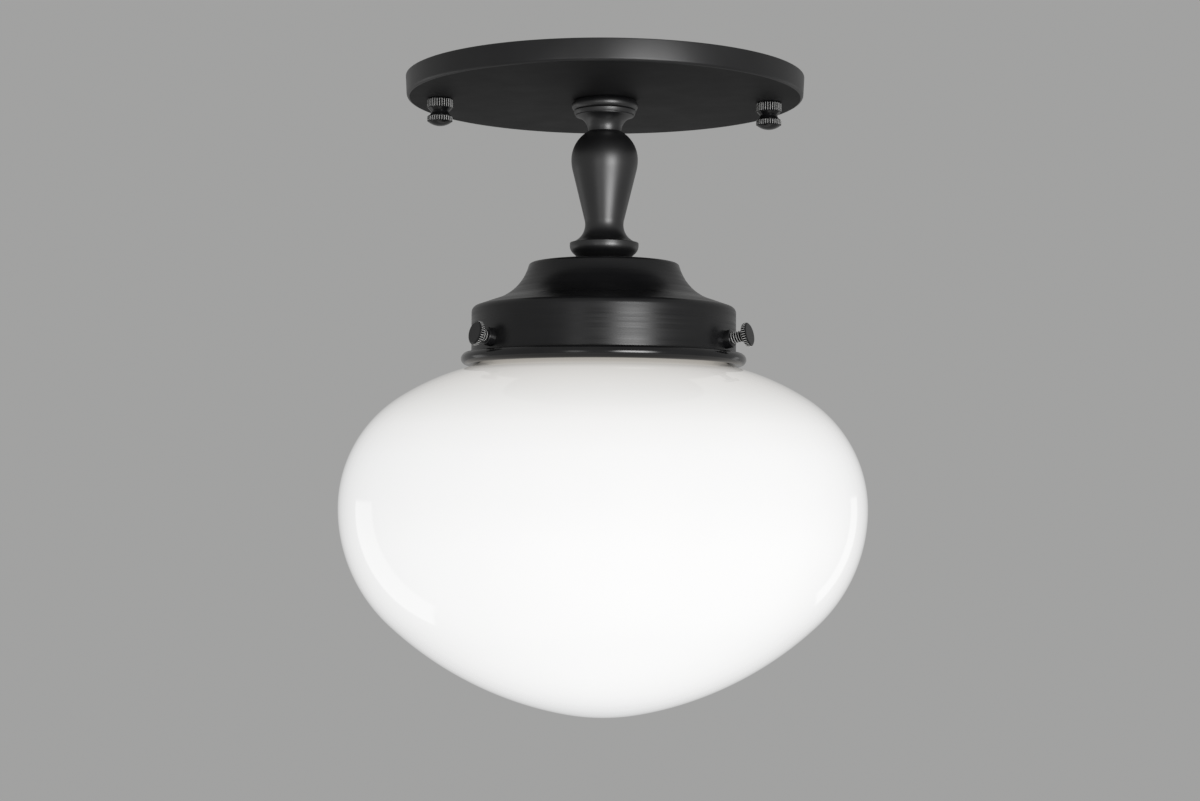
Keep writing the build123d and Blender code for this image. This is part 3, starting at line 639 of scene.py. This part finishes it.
# Camera, as the photograph was taken
CAMERA_ANGLE = math.radians(-92.2)
CAMERA_DISTANCE, CAMERA_Z = 659.25 * MM, -129.34 * MM
SENSOR, LENS = 36, 63
YAW, PITCH, ROLL = math.radians(0.092), math.radians(2.421), math.radians(-0.301)
eye = Vector((CAMERA_DISTANCE * math.cos(CAMERA_ANGLE), CAMERA_DISTANCE * math.sin(CAMERA_ANGLE), CAMERA_Z))
heading = CAMERA_ANGLE + math.pi + YAW
ahead = Vector((math.cos(heading) * math.cos(PITCH), math.sin(heading) * math.cos(PITCH), math.sin(PITCH)))
level = ahead.cross(Vector((0, 0, 1))).normalized()
upright = level.cross(ahead)
right = level * math.cos(ROLL) - upright * math.sin(ROLL)
above = upright * math.cos(ROLL) + level * math.sin(ROLL)
camera_data = bpy.data.cameras.new("camera")
camera_data.sensor_fit = "HORIZONTAL"
camera_data.sensor_width = SENSOR
camera_data.lens = LENS
camera_data.clip_start = 0.01
camera = bpy.data.objects.new("camera", camera_data)
camera.matrix_world = Matrix((right, above, -ahead)).transposed().to_4x4()
camera.location = eye
bpy.context.scene.collection.objects.link(camera)
bpy.context.scene.camera = camera

# Pale floor that runs out into the background
BACKGROUND = (0.36, 0.36, 0.357)
AMBIENT = 0.48
FLOOR_Z, FLOOR_R = -0.90, 8.0
FADE_FROM, FADE_TO = 0.5, 2.2


def seen_rays(nodes, links):
    """1 for camera, glossy and transmission rays."""
    path = nodes.new("ShaderNodeLightPath")
    total = path.outputs["Is Camera Ray"]
    for name in ("Is Glossy Ray", "Is Transmission Ray"):
        add = nodes.new("ShaderNodeMath")
        add.operation = "MAXIMUM"
        links.new(total, add.inputs[0])
        links.new(path.outputs[name], add.inputs[1])
        total = add.outputs[0]
    return total


floor_mesh = bpy.data.meshes.new("floor")
bm = bmesh.new()
bmesh.ops.create_circle(bm, cap_ends=True, segments=96, radius=FLOOR_R)
bm.to_mesh(floor_mesh)
bm.free()
floor = bpy.data.objects.new("floor", floor_mesh)
floor.location.z = FLOOR_Z
bpy.context.scene.collection.objects.link(floor)
mat, nodes, links, shader = material("floor_paint")
coords = nodes.new("ShaderNodeTexCoord").outputs["Object"]
links.new(tones(nodes, links, noise(nodes, links, coords, 4, 2), (0.48, 0.48, 0.476), (0.50, 0.50, 0.496)),
          shader.inputs["Base Color"])
shader.inputs["Roughness"].default_value = 0.9
distance = nodes.new("ShaderNodeVectorMath")
distance.operation = "LENGTH"
links.new(coords, distance.inputs[0])
fade = spread(nodes, links, distance.outputs["Value"], 0.0, 1.0, FADE_FROM, FADE_TO)
far = nodes.new("ShaderNodeMath")
far.operation = "MULTIPLY"
links.new(fade, far.inputs[0])
links.new(seen_rays(nodes, links), far.inputs[1])
plain_light = nodes.new("ShaderNodeEmission")
plain_light.inputs["Color"].default_value = (*BACKGROUND, 1)
mix = nodes.new("ShaderNodeMixShader")
links.new(far.outputs[0], mix.inputs["Fac"])
links.new(shader.outputs[0], mix.inputs[1])
links.new(plain_light.outputs[0], mix.inputs[2])
links.new(mix.outputs[0], nodes["Material Output"].inputs["Surface"])
floor_mesh.materials.append(mat)

world = bpy.data.worlds.new("world")
bpy.context.scene.world = world
world.use_nodes = True
nodes, links = world.node_tree.nodes, world.node_tree.links
ambient = nodes["Background"]
ambient.inputs["Color"].default_value = (1, 1, 1, 1)
ambient.inputs["Strength"].default_value = AMBIENT
shown = nodes.new("ShaderNodeBackground")
shown.inputs["Color"].default_value = (*BACKGROUND, 1)
mix = nodes.new("ShaderNodeMixShader")
links.new(seen_rays(nodes, links), mix.inputs["Fac"])
links.new(ambient.outputs[0], mix.inputs[1])
links.new(shown.outputs[0], mix.inputs[2])
links.new(mix.outputs[0], nodes["World Output"].inputs["Surface"])


# Soft studio lamps
AIM_Z = -0.1
GLASS_SHARE = 0.88


def softbox(name, bearing, distance, z, width, height, radiance, fades):
    """A lamp with fading edges; bearing is how far to the camera's right it stands, in degrees."""
    data = bpy.data.lights.new(name, "AREA")
    data.shape = "RECTANGLE"
    data.size, data.size_y = width, height
    data.energy = radiance * math.pi * width * height
    data.use_nodes = True
    nodes, links = data.node_tree.nodes, data.node_tree.links
    split = nodes.new("ShaderNodeSeparateXYZ")
    links.new(nodes.new("ShaderNodeNewGeometry").outputs["Parametric"], split.inputs[0])
    product = nodes.new("ShaderNodeMath")
    product.operation = "MULTIPLY"
    for slot, (side, fade) in enumerate(zip("XY", fades)):
        away = nodes.new("ShaderNodeMath")
        away.operation = "PINGPONG"
        away.inputs[1].default_value = 0.5
        links.new(split.outputs[side], away.inputs[0])
        edge = nodes.new("ShaderNodeMapRange")
        edge.interpolation_type = "SMOOTHSTEP"
        edge.inputs["From Max"].default_value = fade / 2
        links.new(away.outputs[0], edge.inputs["Value"])
        links.new(edge.outputs["Result"], product.inputs[slot])
    links.new(product.outputs[0], nodes["Emission"].inputs["Strength"])
    lamp = bpy.data.objects.new(name, data)
    a = CAMERA_ANGLE + math.radians(bearing)
    lamp.location = (distance * math.cos(a), distance * math.sin(a), z)
    lamp.rotation_euler = (Vector((0, 0, AIM_Z)) - lamp.location).to_track_quat("-Z", "Y").to_euler()
    lamp.visible_camera = False
    bpy.context.scene.collection.objects.link(lamp)
    return lamp


# The glass outshines the two front lamps: they shade it, and only the windows are mirrored in it
for suffix, state, share in (("", "EXCLUDE", 1.0), ("_on_glass", "INCLUDE", GLASS_SHARE)):
    reached = bpy.data.collections.new("reached" + suffix)
    reached.objects.link(glass)
    reached.collection_objects[0].light_linking.link_state = state
    key = softbox("key" + suffix, bearing=24, distance=0.95, z=-0.19, width=0.72, height=0.62,
                  radiance=12.6 * share, fades=(0.8, 0.45))
    fill = softbox("fill" + suffix, bearing=-22, distance=1.1, z=-0.25, width=0.40, height=0.70,
                   radiance=1.7 * share, fades=(0.8, 0.4))
    for lamp in (key, fill):
        lamp.light_linking.receiver_collection = reached
        lamp.visible_glossy = state == "EXCLUDE"
softbox("left_window", bearing=-119, distance=0.85, z=-0.45, width=0.30, height=0.80,
        radiance=0.8, fades=(0.2, 0.1))
softbox("right_window", bearing=133, distance=1.3, z=-0.40, width=0.22, height=0.75,
        radiance=0.55, fades=(0.2, 0.1))

bpy.context.scene.view_settings.view_transform = "Standard"
